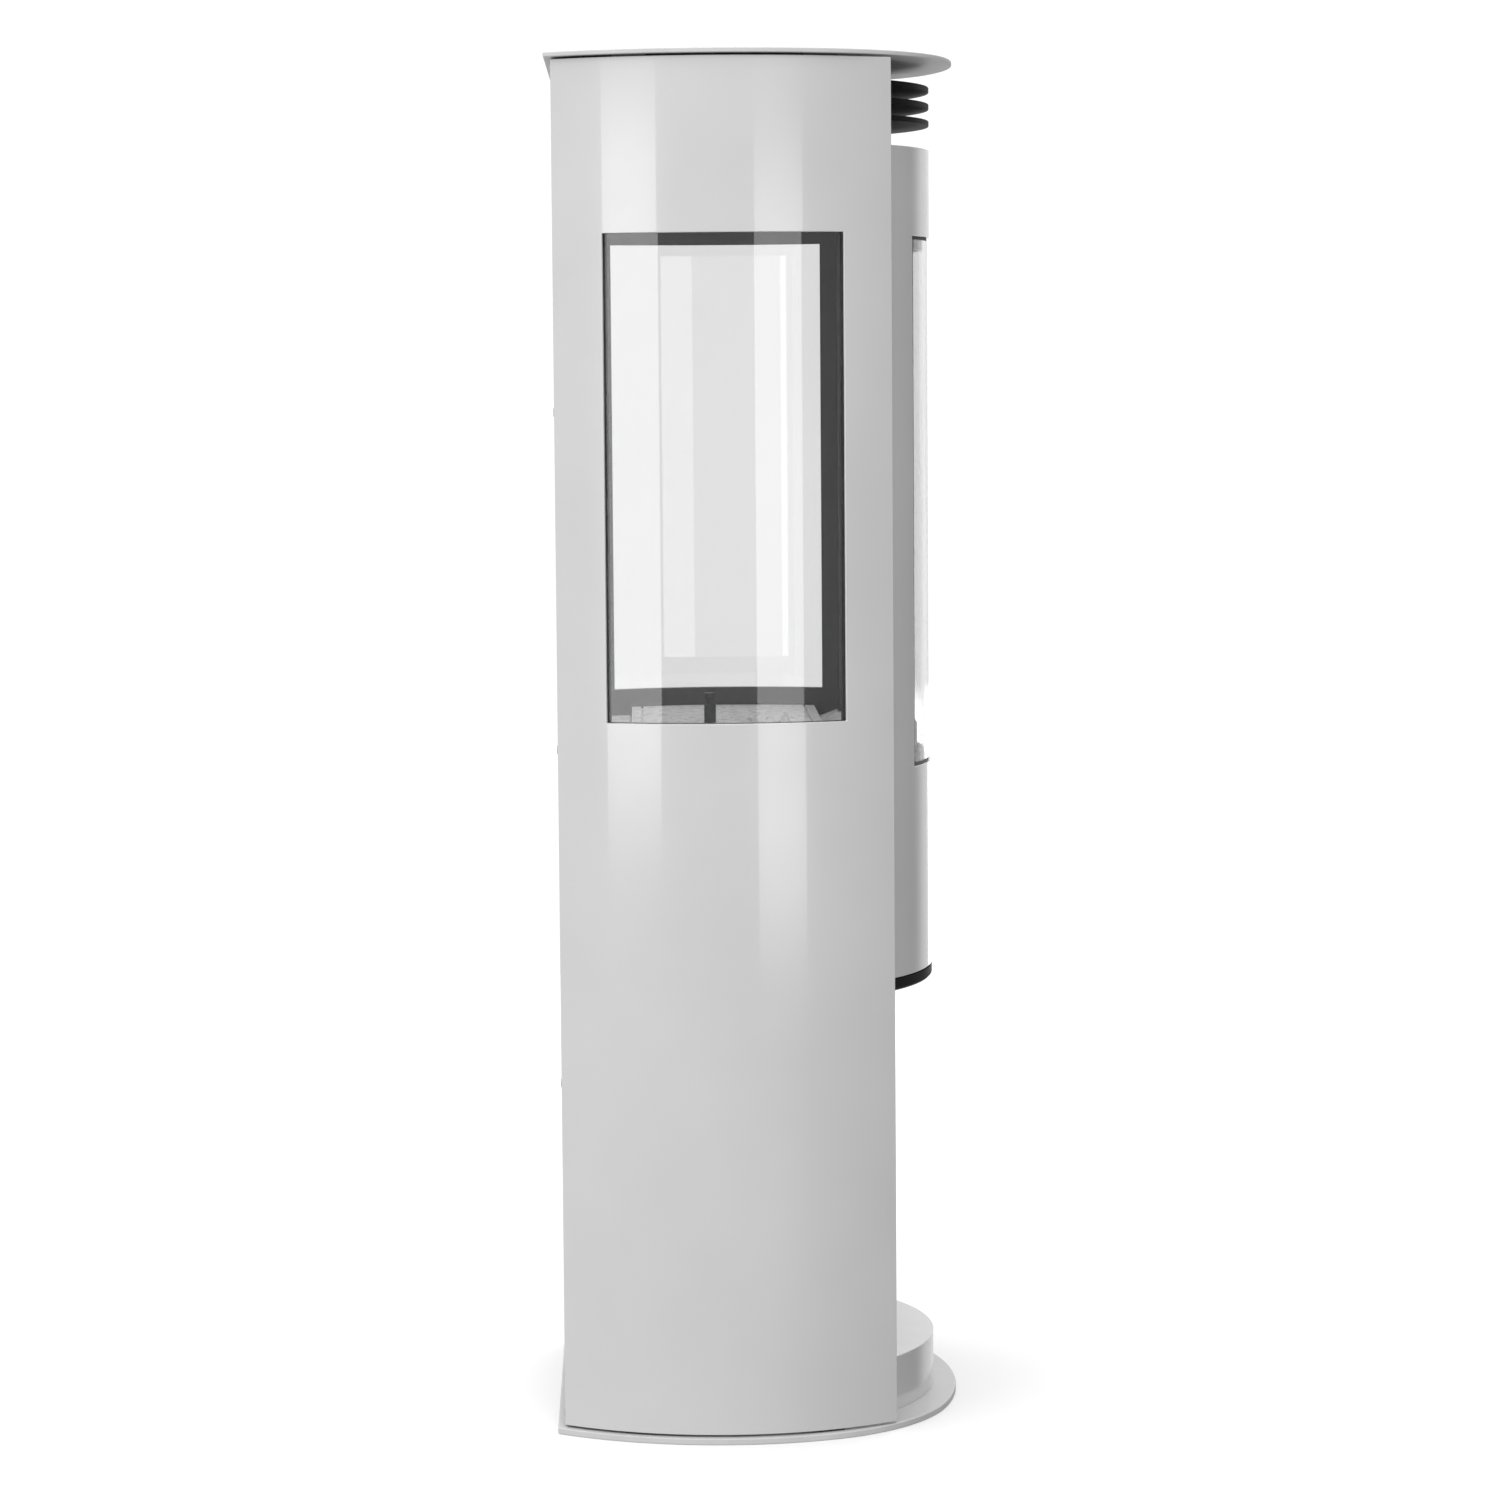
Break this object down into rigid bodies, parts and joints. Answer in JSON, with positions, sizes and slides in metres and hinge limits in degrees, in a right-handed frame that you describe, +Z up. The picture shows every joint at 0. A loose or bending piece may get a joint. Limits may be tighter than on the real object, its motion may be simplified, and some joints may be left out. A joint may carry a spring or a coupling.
{
  "type": "wood burning stove",
  "caption": "Tall round wood burning stove with curved side panels and side windows, a curved glass door, cooling fins under the top plate and an open wood store above a drum plinth.",
  "frame": {"origin": "on the floor, on the vertical axis of the round fire body", "axes": "+Z up, -Y towards the front with the door, +X to the right as seen from the front"},
  "size_m": [0.428, 0.376, 1.25],
  "materials": {
    "enamel": "light grey gloss enamel with a faint orange peel",
    "black_enamel": "black satin gloss enamel",
    "side_glass": "clear heat-resistant glass",
    "door_glass": "clear heat-resistant glass",
    "gasket": "black glass-fibre rope",
    "brick": "pressed vermiculite",
    "cast_iron": "black cast iron",
    "bright_steel": "brushed stainless steel",
    "stove_steel": "dark grey heat-resistant paint"
  },
  "bodies": {
    "stove": {"base_plate": "enamel", "plinth_drum": "enamel", "plinth_lid": "enamel", "store_posts": "stove_steel", "side_panel_left": "enamel", "side_panel_right": "enamel", "panel_brackets_left": "stove_steel", "panel_brackets_right": "stove_steel", "side_glass_left": "side_glass", "side_glass_right": "side_glass", "side_gasket_left": "gasket", "side_gasket_right": "gasket", "back_panel": "enamel", "back_panel_screws": "bright_steel", "top_plate": "enamel", "cooling_fin_lower": "black_enamel", "cooling_fin_middle": "black_enamel", "cooling_fin_upper": "black_enamel", "fin_hub": "black_enamel", "flue_collar": "stove_steel", "body_roof": "stove_steel", "body_floor": "stove_steel", "base_ring": "black_enamel", "firebox_shell": "stove_steel", "air_chamber_sides": "stove_steel", "air_chamber_rear": "stove_steel", "air_chamber_front": "stove_steel", "ash_shelf": "stove_steel", "ash_pan": "stove_steel", "firebox_base": "stove_steel", "grate_cradle": "cast_iron", "floor_brick_centre": "brick", "floor_brick_front": "brick", "floor_brick_rear": "brick", "firebrick_back_left": "brick", "firebrick_back_right": "brick", "baffle_rests": "stove_steel", "baffle_plate": "brick", "smoke_plate": "stove_steel", "log_guard": "cast_iron", "air_collar": "stove_steel", "slide_guides": "stove_steel", "hinge_bracket_lower": "stove_steel", "hinge_bracket_upper": "stove_steel", "hinge_pins": "bright_steel", "latch_keeper": "bright_steel"},
    "door": {"door_shell": "enamel", "door_glass": "door_glass", "door_glass_gasket": "gasket", "door_frame": "cast_iron", "door_seal_rope": "gasket", "hinge_arms": "stove_steel", "latch_arms": "stove_steel"},
    "handle": {"latch_rod": "bright_steel", "latch_hook": "bright_steel", "handle_grip": "bright_steel"},
    "air_slide": {"air_slide_plate": "bright_steel", "air_knob": "black_enamel"},
    "grate": {"grate_disc": "cast_iron", "riddling_pin": "cast_iron"}
  },
  "joints": [
    {"name": "door_swing", "type": "hinge", "parent": "stove", "child": "door", "pos_m": [-0.15989, -0.13997, 0.79], "axis": [0, 0, -1], "range_deg": [0, 110]},
    {"name": "handle_turn", "type": "hinge", "parent": "door", "child": "handle", "pos_m": [0.15989, -0.13997, 0.79], "axis": [0, 0, -1], "range_deg": [0, 35]},
    {"name": "air_slide_move", "type": "slide", "parent": "stove", "child": "air_slide", "axis": [1, 0, 0], "range_m": [-0.03, 0.03]},
    {"name": "grate_turn", "type": "hinge", "parent": "stove", "child": "grate", "pos_m": [0, 0.014, 0.6], "axis": [0, 0, 1], "range_deg": [-22, 22]}
  ]
}
